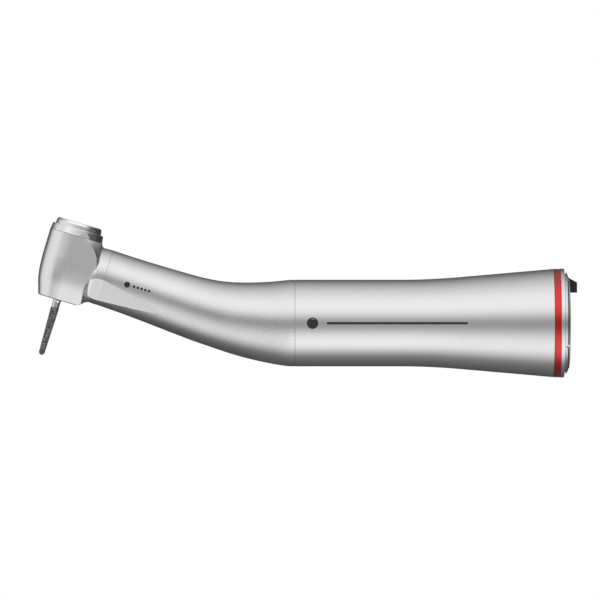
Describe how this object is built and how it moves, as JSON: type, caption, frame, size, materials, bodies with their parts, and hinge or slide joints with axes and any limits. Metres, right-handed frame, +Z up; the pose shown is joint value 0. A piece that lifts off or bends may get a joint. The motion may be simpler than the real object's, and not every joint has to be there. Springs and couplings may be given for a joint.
{
  "type": "dental contra angle handpiece",
  "caption": "Bent dental contra-angle handpiece: speed-increasing bevel-gear drive, push-button chuck with a tapered diamond bur, satin grip sleeves and a red ratio ring.",
  "frame": {"origin": "centre of the rear coupling bore's mouth", "axes": "+X out of the coupling bore towards the motor, along the straight handle; +Z up, on the push-button side; the head and the bur lie in the XZ plane at -X"},
  "size_m": [0.0994, 0.02, 0.0296],
  "materials": {
    "polished_steel": "mirror polished, coated",
    "blasted_steel": "fine blasted satin",
    "satin_steel": "smooth satin",
    "red_anodised": "red anodised, satin",
    "bright_steel": "fine turned",
    "bearing_steel": "ground",
    "cage_resin": "moulded",
    "gear_steel": "hardened and ground",
    "spring_steel": "drawn",
    "brass_housing": "turned",
    "aluminium_core": "turned",
    "black_plastic": "moulded",
    "optical_glass": "fused fibres",
    "tube_steel": "drawn",
    "bur_steel": "ground",
    "diamond_grit": "electroplated coarse grit"
  },
  "bodies": {
    "housing": {"air_tube": "tube_steel", "button_spring": "spring_steel", "chassis": "aluminium_core", "coupling_body": "bright_steel", "coupling_nut": "bright_steel", "end_ring": "bright_steel", "front_bearing_carrier": "brass_housing", "front_sleeve": "blasted_steel", "head_cap": "polished_steel", "head_housing": "polished_steel", "index_key": "black_plastic", "input_bearing_nut": "aluminium_core", "input_front_bearing_outer_ring": "bearing_steel", "input_housing": "brass_housing", "input_rear_bearing_outer_ring": "bearing_steel", "light_guide": "optical_glass", "light_window": "optical_glass", "neck_front_bearing_outer_ring": "bearing_steel", "neck_rear_bearing_outer_ring": "bearing_steel", "preload_washer": "spring_steel", "ratio_ring": "red_anodised", "rear_sleeve": "satin_steel", "rotor_lower_bearing_outer_ring": "bearing_steel", "rotor_upper_bearing_outer_ring": "bearing_steel", "spray_plate": "bright_steel", "water_tube": "tube_steel"},
    "input": {"drive_dog": "bright_steel", "dog_pin": "spring_steel", "input_shaft": "bright_steel", "ring_gear": "gear_steel", "input_front_bearing_inner_ring": "bearing_steel", "input_rear_bearing_inner_ring": "bearing_steel", "input_bearing_spacer": "aluminium_core"},
    "neck": {"neck_shaft": "bright_steel", "neck_pinion": "gear_steel", "neck_gear": "gear_steel", "neck_front_bearing_inner_ring": "bearing_steel", "neck_rear_bearing_inner_ring": "bearing_steel"},
    "rotor": {"rotor_spindle": "bright_steel", "chuck_collet": "gear_steel", "chuck_snap_ring": "spring_steel", "chuck_wedge_spring": "spring_steel", "rotor_lower_bearing_inner_ring": "bearing_steel", "rotor_upper_bearing_inner_ring": "bearing_steel"},
    "wedge": {"chuck_wedge": "gear_steel"},
    "bur": {"bur_shank": "bur_steel", "bur_diamond": "diamond_grit"},
    "button": {"push_button": "polished_steel", "button_plunger": "gear_steel"},
    "rotor_lower_bearing_cage": {"rotor_lower_bearing_balls": "cage_resin"},
    "rotor_upper_bearing_cage": {"rotor_upper_bearing_balls": "cage_resin"},
    "neck_front_bearing_cage": {"neck_front_bearing_balls": "cage_resin"},
    "neck_rear_bearing_cage": {"neck_rear_bearing_balls": "cage_resin"},
    "input_front_bearing_cage": {"input_front_bearing_balls": "cage_resin"},
    "input_rear_bearing_cage": {"input_rear_bearing_balls": "cage_resin"}
  },
  "joints": [
    {"name": "input_spin", "type": "hinge", "parent": "housing", "child": "input", "pos_m": [0, 0, 0], "axis": [1, 0, 0], "continuous": true},
    {"name": "neck_spin", "type": "hinge", "parent": "housing", "child": "neck", "pos_m": [-0.09263, 0, 0.01045], "axis": [0.9588, 0, -0.284], "continuous": true},
    {"name": "rotor_spin", "type": "hinge", "parent": "housing", "child": "rotor", "pos_m": [-0.09263, 0, 0.01045], "axis": [0.284, 0, 0.9588], "continuous": true},
    {"name": "rotor_lower_bearing_cage_spin", "type": "hinge", "parent": "housing", "child": "rotor_lower_bearing_cage", "pos_m": [-0.09263, 0, 0.01045], "axis": [0.284, 0, 0.9588], "continuous": true},
    {"name": "rotor_upper_bearing_cage_spin", "type": "hinge", "parent": "housing", "child": "rotor_upper_bearing_cage", "pos_m": [-0.09263, 0, 0.01045], "axis": [0.284, 0, 0.9588], "continuous": true},
    {"name": "neck_front_bearing_cage_spin", "type": "hinge", "parent": "housing", "child": "neck_front_bearing_cage", "pos_m": [-0.09263, 0, 0.01045], "axis": [0.9588, 0, -0.284], "continuous": true},
    {"name": "neck_rear_bearing_cage_spin", "type": "hinge", "parent": "housing", "child": "neck_rear_bearing_cage", "pos_m": [-0.09263, 0, 0.01045], "axis": [0.9588, 0, -0.284], "continuous": true},
    {"name": "input_front_bearing_cage_spin", "type": "hinge", "parent": "housing", "child": "input_front_bearing_cage", "pos_m": [0, 0, 0], "axis": [1, 0, 0], "continuous": true},
    {"name": "input_rear_bearing_cage_spin", "type": "hinge", "parent": "housing", "child": "input_rear_bearing_cage", "pos_m": [0, 0, 0], "axis": [1, 0, 0], "continuous": true},
    {"name": "button_press", "type": "slide", "parent": "housing", "child": "button", "axis": [-0.284, 0, -0.9588], "range_m": [0, 0.0007], "stiffness_N_per_m": 3000, "springref_m": -0.0005, "deforming": ["button_spring"]},
    {"name": "wedge_push", "type": "slide", "parent": "rotor", "child": "wedge", "axis": [-0.284, 0, -0.9588], "range_m": [0, 0.00036], "deforming": ["chuck_wedge_spring"]},
    {"name": "bur_draw", "type": "slide", "parent": "rotor", "child": "bur", "axis": [-0.284, 0, -0.9588], "range_m": [0, 0.022]}
  ],
  "couplings": [
    {"joint": "neck_spin", "follows": "input_spin", "ratio": 3},
    {"joint": "rotor_spin", "follows": "input_spin", "ratio": -5},
    {"joint": "rotor_lower_bearing_cage_spin", "follows": "input_spin", "ratio": -1.9751},
    {"joint": "rotor_upper_bearing_cage_spin", "follows": "input_spin", "ratio": -1.9751},
    {"joint": "neck_front_bearing_cage_spin", "follows": "input_spin", "ratio": 1.185},
    {"joint": "neck_rear_bearing_cage_spin", "follows": "input_spin", "ratio": 1.185},
    {"joint": "input_front_bearing_cage_spin", "follows": "input_spin", "ratio": 0.39501},
    {"joint": "input_rear_bearing_cage_spin", "follows": "input_spin", "ratio": 0.39501},
    {"joint": "wedge_push", "follows": "button_press", "ratio": 0.51429}
  ]
}
